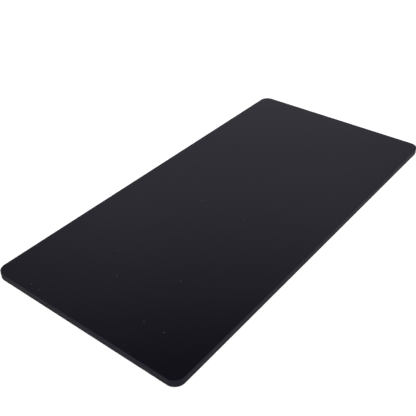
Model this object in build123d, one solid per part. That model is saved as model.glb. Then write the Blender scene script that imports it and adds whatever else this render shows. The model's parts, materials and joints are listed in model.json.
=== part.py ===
from build123d import *
import os

# A self-adhesive kick plate: one solid sheet of black acrylic with rounded corners, five strips of
# double-sided foam tape on its back, and a release liner on each strip, peeled off when it is fitted.
# Millimetres. It lies face up on its liners. +X runs across the door, +Y up it and +Z out of it.
# The origin is under the middle of the plate, in the plane of the liners' outer faces.

# Plate
PLATE_LENGTH = 305.0  # across the door, along X
PLATE_HEIGHT = 150.0  # up the door, along Y
PLATE_THICKNESS = 5.0  # stock sheet
CORNER_RADIUS = 7.0  # the four corners, seen from the front
ARRIS_RADIUS = 0.25  # where the edges are taken off the cut sides, front and back

# Double-sided foam tape, cut from one roll
TAPE_WIDTH = 19.0
TAPE_THICKNESS = 0.5
TAPE_INSET = 6.0  # from the plate's outline to the outer strips
TAPE_GAP = 2.0  # between the end of one strip and the side of the next

# Release liner
LINER_THICKNESS = 0.1
FINGER_LIFT = 4.0  # how much wider a liner is than its tape, so that a finger can lift it

# Levels above the surface that the plate lies on
TAPE_BACK = LINER_THICKNESS
PLATE_BACK = TAPE_BACK + TAPE_THICKNESS

# The tape's layout: two long strips at the top and bottom, two short ones that stand between them
# at the ends, and one along the middle, between the short ones
LONG_LENGTH = PLATE_LENGTH - 2 * TAPE_INSET
LONG_OFFSET = PLATE_HEIGHT / 2 - TAPE_INSET - TAPE_WIDTH / 2
SHORT_LENGTH = 2 * (LONG_OFFSET - TAPE_WIDTH / 2 - TAPE_GAP)
SHORT_OFFSET = PLATE_LENGTH / 2 - TAPE_INSET - TAPE_WIDTH / 2
MIDDLE_LENGTH = 2 * (SHORT_OFFSET - TAPE_WIDTH / 2 - TAPE_GAP)

# Each strip's centre, its size along X and Y, and the direction in which its liner is wider:
# outwards, to where a finger reaches it at the plate's edge
STRIPS = {
    "top": ((0, LONG_OFFSET), (LONG_LENGTH, TAPE_WIDTH), (0, 1)),
    "bottom": ((0, -LONG_OFFSET), (LONG_LENGTH, TAPE_WIDTH), (0, -1)),
    "left": ((-SHORT_OFFSET, 0), (TAPE_WIDTH, SHORT_LENGTH), (-1, 0)),
    "right": ((SHORT_OFFSET, 0), (TAPE_WIDTH, SHORT_LENGTH), (1, 0)),
    "middle": ((0, 0), (MIDDLE_LENGTH, TAPE_WIDTH), (0, -1)),
}


def block(centre, size, low, high):
    """A flat block over a rectangle, from one level up to another."""
    outline = Pos(*centre, low) * Rectangle(*size)
    return extrude(outline, amount=high - low)


def plate():
    """The sheet, with its corners cut round and the arris taken off all along both outlines."""
    outline = Pos(0, 0, PLATE_BACK) * RectangleRounded(PLATE_LENGTH, PLATE_HEIGHT, CORNER_RADIUS)
    sheet = extrude(outline, amount=PLATE_THICKNESS)
    levels = sheet.edges().group_by(Axis.Z)
    return fillet(levels[0] + levels[-1], ARRIS_RADIUS)


def tape(centre, size):
    """One strip of foam tape, on the plate's back."""
    return block(centre, size, TAPE_BACK, PLATE_BACK)


def liner(centre, size, wider_side):
    """The liner under one strip: flush with it on three sides, and wider on the fourth."""
    middle = [c + side * FINGER_LIFT / 2 for c, side in zip(centre, wider_side)]
    extent = [s + abs(side) * FINGER_LIFT for s, side in zip(size, wider_side)]
    return block(middle, extent, 0, TAPE_BACK)


nodes = {"plate": plate()}
for place, (centre, size, wider_side) in STRIPS.items():
    nodes[f"tape_{place}"] = tape(centre, size)
    nodes[f"liner_{place}"] = liner(centre, size, wider_side)

os.makedirs("parts", exist_ok=True)
for name, solid in nodes.items():
    export_step(solid, f"parts/{name}.step")
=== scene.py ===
"""The looks of a self-adhesive kick plate: a sheet of gloss black acrylic, with foam tape on its back and
a release liner on each strip of tape. Metres, in the CAD model's frame: +X runs across the door, +Y up it
and +Z out of it, and the plate lies face up on its liners."""

import json
import math

import bmesh
import bpy
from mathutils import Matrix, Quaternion, Vector


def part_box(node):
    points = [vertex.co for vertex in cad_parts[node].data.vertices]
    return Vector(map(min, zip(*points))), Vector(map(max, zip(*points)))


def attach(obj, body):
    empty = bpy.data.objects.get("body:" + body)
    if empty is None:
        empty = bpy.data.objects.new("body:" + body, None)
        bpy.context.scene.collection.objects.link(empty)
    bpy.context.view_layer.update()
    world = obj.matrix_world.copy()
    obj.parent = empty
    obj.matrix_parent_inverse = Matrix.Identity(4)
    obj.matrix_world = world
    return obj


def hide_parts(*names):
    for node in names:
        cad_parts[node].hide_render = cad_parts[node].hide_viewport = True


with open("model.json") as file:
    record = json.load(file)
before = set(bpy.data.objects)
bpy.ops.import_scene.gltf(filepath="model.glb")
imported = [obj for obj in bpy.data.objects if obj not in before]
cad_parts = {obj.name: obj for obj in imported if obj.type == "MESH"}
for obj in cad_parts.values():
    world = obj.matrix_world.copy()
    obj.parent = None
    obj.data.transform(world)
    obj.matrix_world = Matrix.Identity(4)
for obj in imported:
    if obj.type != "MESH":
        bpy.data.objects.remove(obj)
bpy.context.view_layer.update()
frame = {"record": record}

MM = 0.001
SLOTS = {part["node"]: part["material_slot"] for part in frame["record"]["subparts"]}
PLACES = [node.removeprefix("tape_") for node in SLOTS if node.startswith("tape_")]
UP = Vector((0, 0, 1))


# ---------------------------------------------------------------- making objects


def make_object(name, points, faces, normals=None):
    """A mesh object. normals, if they are given, are the true surface's at the points."""
    mesh = bpy.data.meshes.new(name)
    mesh.from_pydata(points, [], faces)
    mesh.shade_smooth()
    if normals:
        mesh.normals_split_custom_set_from_vertices(normals)
    made = bpy.data.objects.new(name, mesh)
    bpy.context.scene.collection.objects.link(made)
    return made


def stand_for(piece, node, *materials):
    """Puts the piece in a CAD node's place."""
    for material in materials:
        piece.data.materials.append(material)
    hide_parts(node)
    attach(piece, "root")


# ---------------------------------------------------------------- plate

CORNER_RADIUS = 7 * MM  # this and the arris are the CAD model's
ARRIS_RADIUS = 0.25 * MM
CORNER_STEPS = 20
ARRIS_STEPS = 6
SIDE_STEPS = 4
CELLS_X = 36  # of the grid on the front and the back
CELLS_Y = 17


def plate_outline():
    """The points round the plate, anticlockwise from above. Each is given as the point of the grid that it
    is straight out from, and the bearing that the side faces there. All the points of a rounded corner
    are straight out from one point of the grid."""
    corners = [(0, 0), (CELLS_X, 0), (CELLS_X, CELLS_Y), (0, CELLS_Y)]
    outline = []
    for side, (start, end) in enumerate(zip(corners, corners[1:] + corners[:1])):
        bearing = math.radians(90 * side - 90)
        cells = abs(end[0] - start[0]) + abs(end[1] - start[1])
        for cell in range(cells + 1):
            grid_point = tuple(a + (b - a) * cell // cells for a, b in zip(start, end))
            outline.append((grid_point, bearing))
        for step in range(1, CORNER_STEPS):
            outline.append((end, bearing + math.radians(90) * step / CORNER_STEPS))
    return outline


def plate_profile(low, high):
    """The section through the edge, from the back to the front: how far in from the outline, the level,
    and the angle above level that the surface faces."""
    rounded = [math.radians(90) * step / ARRIS_STEPS for step in range(ARRIS_STEPS + 1)]
    front = [
        (ARRIS_RADIUS * (1 - math.cos(angle)), high - ARRIS_RADIUS * (1 - math.sin(angle)), angle)
        for angle in rounded
    ]
    back = [(inset, low + high - level, -angle) for inset, level, angle in reversed(front)]
    bottom, top = back[-1][1], front[0][1]
    between = [(0.0, bottom + (top - bottom) * step / SIDE_STEPS, 0.0) for step in range(1, SIDE_STEPS)]
    return back + between + front


def plate_edge(place, outline, profile):
    """Rings of points round the plate's edge, one for each point of the profile, and faces between them."""
    points, normals, faces = [], [], []
    for inset, level, tilt in profile:
        for grid_point, bearing in outline:
            x, y = place(*grid_point)
            out, across, along = CORNER_RADIUS - inset, math.cos(bearing), math.sin(bearing)
            points.append((x + out * across, y + out * along, level))
            normals.append((math.cos(tilt) * across, math.cos(tilt) * along, math.sin(tilt)))
    count = len(outline)
    for ring in range(len(profile) - 1):
        for k in range(count):
            a, b = ring * count + k, ring * count + (k + 1) % count
            faces.append((a, b, b + count, a + count))
    return points, normals, faces


def plate_flat(place, level, outline, rim, first):
    """The grid of a flat side, and the faces that join it to its rim. rim and first are the numbers of the
    rim's and the grid's first points. The faces are for a flat side that faces up."""
    row = CELLS_X + 1
    points = [(*place(i, j), level) for j in range(CELLS_Y + 1) for i in range(row)]
    inner = [first + i + j * row for (i, j), _ in outline]
    faces = []
    for k in range(len(outline)):
        after = (k + 1) % len(outline)
        face = (rim + k, rim + after, inner[after], inner[k])
        faces.append(face[:3] if inner[after] == inner[k] else face)
    for j in range(CELLS_Y):
        for i in range(CELLS_X):
            a = first + i + j * row
            faces.append((a, a + 1, a + row + 1, a + row))
    return points, faces


def build_plate():
    low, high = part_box("plate")
    centre = (low + high) / 2
    reach = (high - low) / 2 - Vector((CORNER_RADIUS, CORNER_RADIUS, 0))

    def place(i, j):
        return centre.x + reach.x * (2 * i / CELLS_X - 1), centre.y + reach.y * (2 * j / CELLS_Y - 1)

    outline = plate_outline()
    points, normals, faces = plate_edge(place, outline, plate_profile(low.z, high.z))
    edge_faces = len(faces)
    front_rim = len(points) - len(outline)

    back_points, back_faces = plate_flat(place, low.z, outline, 0, len(points))
    points += back_points
    front_points, front_faces = plate_flat(place, high.z, outline, front_rim, len(points))
    points += front_points
    normals += [-UP] * len(back_points) + [UP] * len(front_points)
    faces += [face[::-1] for face in back_faces] + front_faces

    piece = make_object("plate_sheet", points, faces, normals)
    for polygon in piece.data.polygons:
        polygon.material_index = 1 if polygon.index < edge_faces else 0
    stand_for(piece, "plate", acrylic_face(), acrylic_cut_edge())


# ---------------------------------------------------------------- tape and liners

STRIP_SPACING = 4 * MM  # between the sections of a strip
SHARP_ANGLE = 30  # degrees between faces, past which the edge between them looks sharp

FOAM_STEPS = 6
FOAM_SWELL = 0.06 * MM  # how far the cut foam swells out between its two skins
BLADE_WANDER = 0.05 * MM  # how far the slit edges stray

CURL_STEPS = 8
CURL_HEIGHT = 0.26 * MM  # how far the liner's free edge curls up
CURL_WANDER = 0.12 * MM

WAVES = ((61 * MM, 0.5), (23 * MM, 0.3), (8.7 * MM, 0.2))  # lengths, and shares of the whole
SIDE_PHASE = 2  # sets the wandering of a tape's one side apart from the other's
LINER_PHASE = 4  # and a liner's from its tape's


def wander(distance, start):
    """A smooth line that strays between 0 and 1 as it goes, the same way each time."""
    return 0.5 + sum(
        share / 2 * math.sin(math.tau * distance / wave + start * (1 + share)) for wave, share in WAVES
    )


def strip_layout(place):
    """Where a strip of tape starts, the directions along and across it, its length and its width, and how
    much wider its liner is. Across points to the side on which the liner is wider."""
    low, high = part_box(f"tape_{place}")
    liner_low, liner_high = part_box(f"liner_{place}")
    size = high - low
    length_axis, width_axis = (0, 1) if size.x > size.y else (1, 0)
    along, across, start = Vector(), Vector(), Vector((low.x, low.y, 0))
    along[length_axis] = 1
    wider_above = liner_high[width_axis] - high[width_axis]
    wider_below = low[width_axis] - liner_low[width_axis]
    if wider_above > wider_below:
        across[width_axis] = 1
    else:
        across[width_axis] = -1
        start[width_axis] = high[width_axis]
    return start, along, across, size[length_axis], size[width_axis], max(wider_above, wider_below)


def sweep(name, start, along, across, length, section):
    """A closed strip along a straight line. section(distance) gives the outline there, as distances across
    the strip and levels."""
    steps = round(length / STRIP_SPACING)
    points = [
        start + along * (length * k / steps) + across * side + UP * level
        for k in range(steps + 1)
        for side, level in section(length * k / steps)
    ]
    count = len(points) // (steps + 1)
    faces = [
        (a + i, a + (i + 1) % count, a + count + (i + 1) % count, a + count + i)
        for a in range(0, steps * count, count)
        for i in range(count)
    ]
    faces += [tuple(range(count)), tuple(range(steps * count, (steps + 1) * count))]
    piece = make_object(name, points, faces)
    shape = bmesh.new()
    shape.from_mesh(piece.data)
    bmesh.ops.recalc_face_normals(shape, faces=shape.faces)
    shape.to_mesh(piece.data)
    shape.free()
    piece.data.set_sharp_from_angle(angle=math.radians(SHARP_ANGLE))
    return piece


def build_tape(place, phase, material):
    """Foam slit by a blade: its sides stray a little, and swell out between the skins."""
    low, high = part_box(f"tape_{place}")
    start, along, across, length, width, _ = strip_layout(place)

    def section(distance):
        left = BLADE_WANDER * wander(distance, phase)
        right = width - BLADE_WANDER * wander(distance, phase + SIDE_PHASE)
        side = []
        for step in range(FOAM_STEPS + 1):
            share = step / FOAM_STEPS
            side.append((FOAM_SWELL * (2 * share - 1) ** 2, low.z + (high.z - low.z) * share))
        return [(right - inset, level) for inset, level in side] + [
            (left + inset, level) for inset, level in reversed(side)
        ]

    piece = sweep(f"foam_tape_{place}", start, along, across, length, section)
    stand_for(piece, f"tape_{place}", material)


def build_liner(place, phase, material):
    """Paper that lies flat under the tape, and curls up where it stands out beyond it."""
    low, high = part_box(f"liner_{place}")
    start, along, across, length, width, wider = strip_layout(place)
    thickness = high.z - low.z

    def section(distance):
        height = CURL_HEIGHT - CURL_WANDER * wander(distance, phase)
        under = [(0.0, low.z)]
        for step in range(CURL_STEPS + 1):
            share = step / CURL_STEPS
            under.append((width + wider * share, low.z + height * share**2))
        return under + [(side, level + thickness) for side, level in reversed(under)]

    piece = sweep(f"release_liner_{place}", start, along, across, length, section)
    stand_for(piece, f"liner_{place}", material)


def build_strips():
    foam_material, liner_material = foam(), liner_paper()
    for number, place in enumerate(PLACES):
        build_tape(place, number, foam_material)
        build_liner(place, number + LINER_PHASE, liner_material)


# ---------------------------------------------------------------- nodes

NOISE_LOW = 0.3  # most of a noise lies between these
NOISE_HIGH = 0.7


class Nodes:
    """A node tree, in a few words. Lengths are in metres, and sizes are the sizes of features."""

    def __init__(self, tree, coordinates):
        self.tree = tree
        self.where = tree.nodes.new("ShaderNodeTexCoord").outputs[coordinates]

    def put(self, socket, value):
        if isinstance(value, bpy.types.NodeSocket):
            self.tree.links.new(value, socket)
        else:
            socket.default_value = value

    def calc(self, operation, a, b=0.0):
        node = self.tree.nodes.new("ShaderNodeMath")
        node.operation = operation
        self.put(node.inputs[0], a)
        self.put(node.inputs[1], b)
        return node.outputs[0]

    def spread(self, value, from_low, from_high, to_low, to_high):
        """The value taken from one range to another, and held inside it."""
        node = self.tree.nodes.new("ShaderNodeMapRange")
        for socket, number in zip(node.inputs, (value, from_low, from_high, to_low, to_high)):
            self.put(socket, number)
        return node.outputs[0]

    def varied(self, noise, low, high):
        """A noise taken to the range from low to high."""
        return self.spread(noise, NOISE_LOW, NOISE_HIGH, low, high)

    def mix(self, share, first, second):
        """The first colour where share is 0, and the second where it is 1. The node has sockets of the same
        name for numbers, vectors and colours, so the ones for colours go by their numbers."""
        node = self.tree.nodes.new("ShaderNodeMix")
        node.data_type = "RGBA"
        self.put(node.inputs[0], share)
        for socket, colour in zip(list(node.inputs)[6:8], (first, second)):
            self.put(socket, colour if isinstance(colour, bpy.types.NodeSocket) else (*colour, 1))
        return node.outputs[2]

    def along(self, axis):
        """The coordinate along X, Y or Z."""
        node = self.tree.nodes.new("ShaderNodeSeparateXYZ")
        self.tree.links.new(self.where, node.inputs[0])
        return node.outputs[axis]

    def scaled(self, sizes, turn=0.0, shift=0.0):
        """Coordinates in which a feature of these sizes is 1 across, turned about Z and shifted."""
        node = self.tree.nodes.new("ShaderNodeMapping")
        node.vector_type = "TEXTURE"
        node.inputs["Scale"].default_value = sizes
        node.inputs["Rotation"].default_value = (0, 0, math.radians(turn))
        node.inputs["Location"].default_value = (shift, shift, shift)
        self.tree.links.new(self.where, node.inputs["Vector"])
        return node.outputs[0]

    def noise(self, sizes, detail=2.0, turn=0.0, shift=0.0):
        node = self.tree.nodes.new("ShaderNodeTexNoise")
        node.inputs["Scale"].default_value = 1.0
        node.inputs["Detail"].default_value = detail
        self.tree.links.new(self.scaled(sizes, turn, shift), node.inputs["Vector"])
        return node.outputs[0]

    def spots(self, cell, smallest, largest, share, shift):
        """1 inside round spots and 0 outside them. A share of the cells has one spot each."""
        node = self.tree.nodes.new("ShaderNodeTexVoronoi")
        node.voronoi_dimensions = "2D"
        node.inputs["Scale"].default_value = 1.0
        self.tree.links.new(self.scaled((cell,) * 3, shift=shift), node.inputs["Vector"])
        chance = self.tree.nodes.new("ShaderNodeSeparateColor")
        self.tree.links.new(node.outputs["Color"], chance.inputs[0])
        chosen = self.calc("GREATER_THAN", chance.outputs[0], 1 - share)
        reach = self.spread(chance.outputs[0], 1 - share, 1, smallest / cell, largest / cell)
        inside = self.calc("SUBTRACT", reach, node.outputs["Distance"])
        return self.calc("MULTIPLY", chosen, self.spread(inside, 0, smallest / cell, 0, 1))

    def lines(self, length, apart, width, patch, turn, shift):
        """1 on long thin lines and 0 off them. The lines are seen only in patches."""
        level = self.noise((length, apart, apart), 0.0, turn, shift)
        near = self.calc("ABSOLUTE", self.calc("SUBTRACT", level, 0.5))
        line = self.spread(near, 0, width / apart, 1, 0)
        patches = self.spread(self.noise((patch,) * 3, 0.0, turn, shift + 1), 0.5, 0.7, 0, 1)
        return self.calc("MULTIPLY", line, patches)

    def bump(self, height, cell_rise_and_shade, under=None):
        node = self.tree.nodes.new("ShaderNodeBump")
        node.inputs["Distance"].default_value = cell_rise_and_shade
        self.put(node.inputs["Height"], height)
        if under:
            self.tree.links.new(under, node.inputs["Normal"])
        return node.outputs[0]


class Material(Nodes):
    """A material whose textures follow the object's own coordinates."""

    def __init__(self, name, ior=1.5, specular=0.5):
        self.made = bpy.data.materials.new(name)
        self.made.use_nodes = True
        super().__init__(self.made.node_tree, "Object")
        self.shader = self.tree.nodes["Principled BSDF"]
        self.shader.inputs["IOR"].default_value = ior
        self.shader.inputs["Specular IOR Level"].default_value = specular

    def finish(self, colour, roughness, normal=None):
        self.put(self.shader.inputs["Base Color"], colour)
        self.put(self.shader.inputs["Roughness"], roughness)
        if normal:
            self.put(self.shader.inputs["Normal"], normal)
        return self.made


# ---------------------------------------------------------------- materials

ACRYLIC_IOR = 1.49
DUSTY_END = -20 * MM  # the plate's left, up to here, is dustier than its right, from there
CLEAN_END = 10 * MM


def acrylic_face():
    """Cast acrylic as it comes from the sheet: deep gloss, hardly wavy, with a few specks of dust, most
    of them on the left, and hairlines where it has been wiped."""
    m = Material("acrylic_face", ior=ACRYLIC_IOR)
    haze = m.noise((70 * MM,) * 3, detail=3)
    lint = m.spots(cell=19 * MM, smallest=0.15 * MM, largest=0.45 * MM, share=0.32, shift=0.31)
    lint = m.calc("MULTIPLY", lint, m.spread(m.along("X"), DUSTY_END, CLEAN_END, 1, 0.1))
    powder = m.spots(cell=7 * MM, smallest=0.08 * MM, largest=0.16 * MM, share=0.4, shift=0.17)
    hairlines = m.calc(
        "MAXIMUM",
        m.lines(240 * MM, apart=2.6 * MM, width=0.018 * MM, patch=18 * MM, turn=24, shift=0.11),
        m.lines(190 * MM, apart=3.7 * MM, width=0.018 * MM, patch=18 * MM, turn=-37, shift=0.57),
    )

    black = m.mix(haze, (0.0018, 0.0013, 0.0034), (0.0023, 0.0017, 0.0041))
    wiped = m.mix(m.calc("MULTIPLY", hairlines, 0.3), black, (0.010, 0.010, 0.012))
    powdered = m.mix(m.calc("MULTIPLY", powder, 0.15), wiped, (0.086, 0.086, 0.086))
    colour = m.mix(m.calc("MULTIPLY", lint, 0.6), powdered, (0.086, 0.086, 0.094))

    gloss = m.varied(haze, 0.075, 0.105)
    dull = m.calc("MAXIMUM", m.calc("MULTIPLY", hairlines, 0.35), lint)
    roughness = m.spread(dull, 0, 1, gloss, 0.4)

    sheet = m.bump(m.noise((34 * MM,) * 3, detail=1), 0.05 * MM)
    return m.finish(colour, roughness, m.bump(m.noise((2.4 * MM,) * 3, detail=1), 0.0015 * MM, sheet))


def acrylic_cut_edge():
    """The edge as the router leaves it: satin, with fine marks from front to back and fainter ones along
    it. Its colour is painted shade and highlight: darker in the grooves of the marks, paler where they
    stand proud."""
    m = Material("acrylic_cut_edge", ior=ACRYLIC_IOR, specular=0.05)
    upright = m.noise((0.5 * MM, 0.5 * MM, 14 * MM), detail=3)
    lengthways = m.noise((45 * MM, 45 * MM, 0.6 * MM))
    marks = m.calc("ADD", m.calc("MULTIPLY", upright, 0.75), m.calc("MULTIPLY", lengthways, 0.25))
    # painted shade and highlight: the colour is darker in the grooves of the marks and paler where they
    # stand proud
    colour = m.mix(m.varied(marks, 0, 1), (0.0057, 0.0046, 0.0089), (0.0084, 0.0069, 0.0126))
    roughness = m.varied(m.noise((11 * MM,) * 3), 0.52, 0.60)
    return m.finish(colour, roughness, m.bump(marks, 0.006 * MM))


def foam():
    """Closed-cell foam, as a blade leaves it, with painted shade: darker down in the hollows of its cells.
    """
    m = Material("foam", specular=0.3)
    cells = m.noise((0.16 * MM,) * 3)
    cell_rise_and_shade = m.varied(cells, 0, 1)
    # painted shade: the colour darkens where the cells sink in
    colour = m.mix(cell_rise_and_shade, (0.030, 0.030, 0.032), (0.075, 0.075, 0.078))
    return m.finish(colour, m.spread(cell_rise_and_shade, 0, 1, 0.9, 0.7), m.bump(cells, 0.03 * MM))


def liner_paper():
    """Siliconed paper: smooth and faintly mottled, with short fibres in it."""
    m = Material("liner_paper", specular=0.4)
    mottle = m.noise((5 * MM,) * 3, detail=4)
    fibres = m.noise((2.2 * MM, 0.18 * MM, 0.5 * MM), turn=31)
    tone = m.calc("ADD", m.calc("MULTIPLY", mottle, 0.6), m.calc("MULTIPLY", fibres, 0.4))
    colour = m.mix(m.varied(tone, 0, 1), (0.66, 0.62, 0.52), (0.76, 0.73, 0.64))
    return m.finish(colour, m.varied(fibres, 0.5, 0.38), m.bump(fibres, 0.004 * MM))


# ---------------------------------------------------------------- floor, light and camera

FLOOR_REACH = 30.0
FLOOR_GAP = 0.01 * MM  # under the liners, so that the surfaces don't coincide
FLOOR_COLOUR = (0.86, 0.86, 0.85, 1)


def build_floor():
    r, z = FLOOR_REACH, -FLOOR_GAP
    floor = make_object("floor", [(-r, -r, z), (r, -r, z), (r, r, z), (-r, r, z)], [(0, 1, 2, 3)])
    floor.data.materials.append(Material("pale_floor", specular=0.0).finish(FLOOR_COLOUR, 0.9))


# The studio's light by its height above the horizon in degrees: how bright it is, and how much of the
# tint it has. White low down, then a dim, slightly blue band that the face shows when it is looked down
# on, and a soft light overhead
STUDIO = (
    (0, 1.02, 0.0),
    (6, 1.00, 0.0),
    (12, 0.90, 0.0),
    (17, 0.70, 0.2),
    (22, 0.40, 0.7),
    (26, 0.32, 1.0),
    (30, 0.32, 1.0),
    (36, 0.34, 1.0),
    (42, 0.25, 1.0),
    (48, 0.11, 1.0),
    (54, 0.04, 1.0),
    (62, 0.05, 0.5),
    (72, 0.25, 0.0),
    (90, 0.50, 0.0),
)
STUDIO_TINT = (1.03, 1.0, 1.20)

# The band is brightest round one bearing, in degrees anticlockwise from +X, and fades away from it
BAND_BEARING = 37
BAND_NEAR = 12  # degrees from that bearing where it starts to fade
BAND_FAR = 23  # and where it has faded
BAND_FADE = 0.22  # how much of it is gone by then
BAND_FOOT = 8  # degrees above the horizon where the fading sets in
BAND_BODY = 24  # and where it is in full


def sine(degrees):
    return math.sin(math.radians(degrees))


def cosine(degrees):
    return math.cos(math.radians(degrees))


def studio_colour(sky, height):
    """The light's colour by the height it comes from. height is the sine of that height's angle."""
    ramp = sky.tree.nodes.new("ShaderNodeValToRGB")
    sky.put(ramp.inputs[0], height)
    stops = ramp.color_ramp.elements
    while len(stops) < len(STUDIO):
        stops.new(1.0)
    for stop, (degrees, bright, tinted) in zip(stops, STUDIO):
        stop.position = sine(degrees)
        stop.color = (*(bright * (1 + (tint - 1) * tinted) for tint in STUDIO_TINT), 1)
    return ramp.outputs[0]


def studio_strength(sky, height):
    """How much of the light there is, by the bearing it comes from and by its height."""
    towards = sky.calc(
        "ADD",
        sky.calc("MULTIPLY", sky.along("X"), cosine(BAND_BEARING)),
        sky.calc("MULTIPLY", sky.along("Y"), sine(BAND_BEARING)),
    )
    level = sky.calc("SQRT", sky.calc("SUBTRACT", 1, sky.calc("MULTIPLY", height, height)))
    aside = sky.spread(sky.calc("DIVIDE", towards, level), cosine(BAND_FAR), cosine(BAND_NEAR), 1, 0)
    fade = sky.spread(height, sine(BAND_FOOT), sine(BAND_BODY), 0, BAND_FADE)
    return sky.calc("SUBTRACT", 1, sky.calc("MULTIPLY", aside, fade))


def build_studio():
    world = bpy.data.worlds.new("studio")
    world.use_nodes = True
    bpy.context.scene.world = world
    sky = Nodes(world.node_tree, "Generated")
    height = sky.along("Z")
    background = sky.tree.nodes["Background"]
    sky.put(background.inputs["Color"], studio_colour(sky, height))
    sky.put(background.inputs["Strength"], studio_strength(sky, height))


def add_lamp(name, bearing, height, width, strength):
    """A soft, far light. The bearing of its middle is anticlockwise from +X and its height is above the
    horizon. They and the width are in degrees."""
    light = bpy.data.lights.new(name, "SUN")
    light.energy = strength
    light.angle = math.radians(width)
    lamp = bpy.data.objects.new(name, light)
    bpy.context.scene.collection.objects.link(lamp)
    towards = Vector((cosine(bearing) * cosine(height), sine(bearing) * cosine(height), sine(height)))
    lamp.rotation_mode = "QUATERNION"
    lamp.rotation_quaternion = towards.to_track_quat("Z", "Y")


CAMERA_AZIMUTH = -51.40
CAMERA_ELEVATION = 35.70
CAMERA_ROLL = -1.00
CAMERA_DISTANCE = 468.5 * MM
CAMERA_LENS = 57.04
SENSOR_WIDTH = 36.0
AIM = Vector((-18.8 * MM, 8.8 * MM, 0))  # from the middle of the plate's front


def build_camera():
    """Looks down on the plate from beyond its lower left corner."""
    low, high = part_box("plate")
    target = Vector(((low.x + high.x) / 2, (low.y + high.y) / 2, high.z)) + AIM
    back = Vector(
        (
            sine(CAMERA_AZIMUTH) * cosine(CAMERA_ELEVATION),
            -cosine(CAMERA_AZIMUTH) * cosine(CAMERA_ELEVATION),
            sine(CAMERA_ELEVATION),
        )
    )
    data = bpy.data.cameras.new("camera")
    data.sensor_width = SENSOR_WIDTH
    data.lens = CAMERA_LENS
    camera = bpy.data.objects.new("camera", data)
    bpy.context.scene.collection.objects.link(camera)
    camera.location = target + back * CAMERA_DISTANCE
    camera.rotation_mode = "QUATERNION"
    roll = Quaternion(back, math.radians(CAMERA_ROLL))
    camera.rotation_quaternion = roll @ back.to_track_quat("Z", "Y")
    bpy.context.scene.camera = camera


# ---------------------------------------------------------------- the scene

build_plate()
build_strips()
build_floor()
build_studio()
add_lamp("key", bearing=225, height=55, width=30, strength=2.8)
add_lamp("fill", bearing=235, height=60, width=40, strength=1.5)
build_camera()
bpy.context.scene.view_settings.view_transform = "Standard"
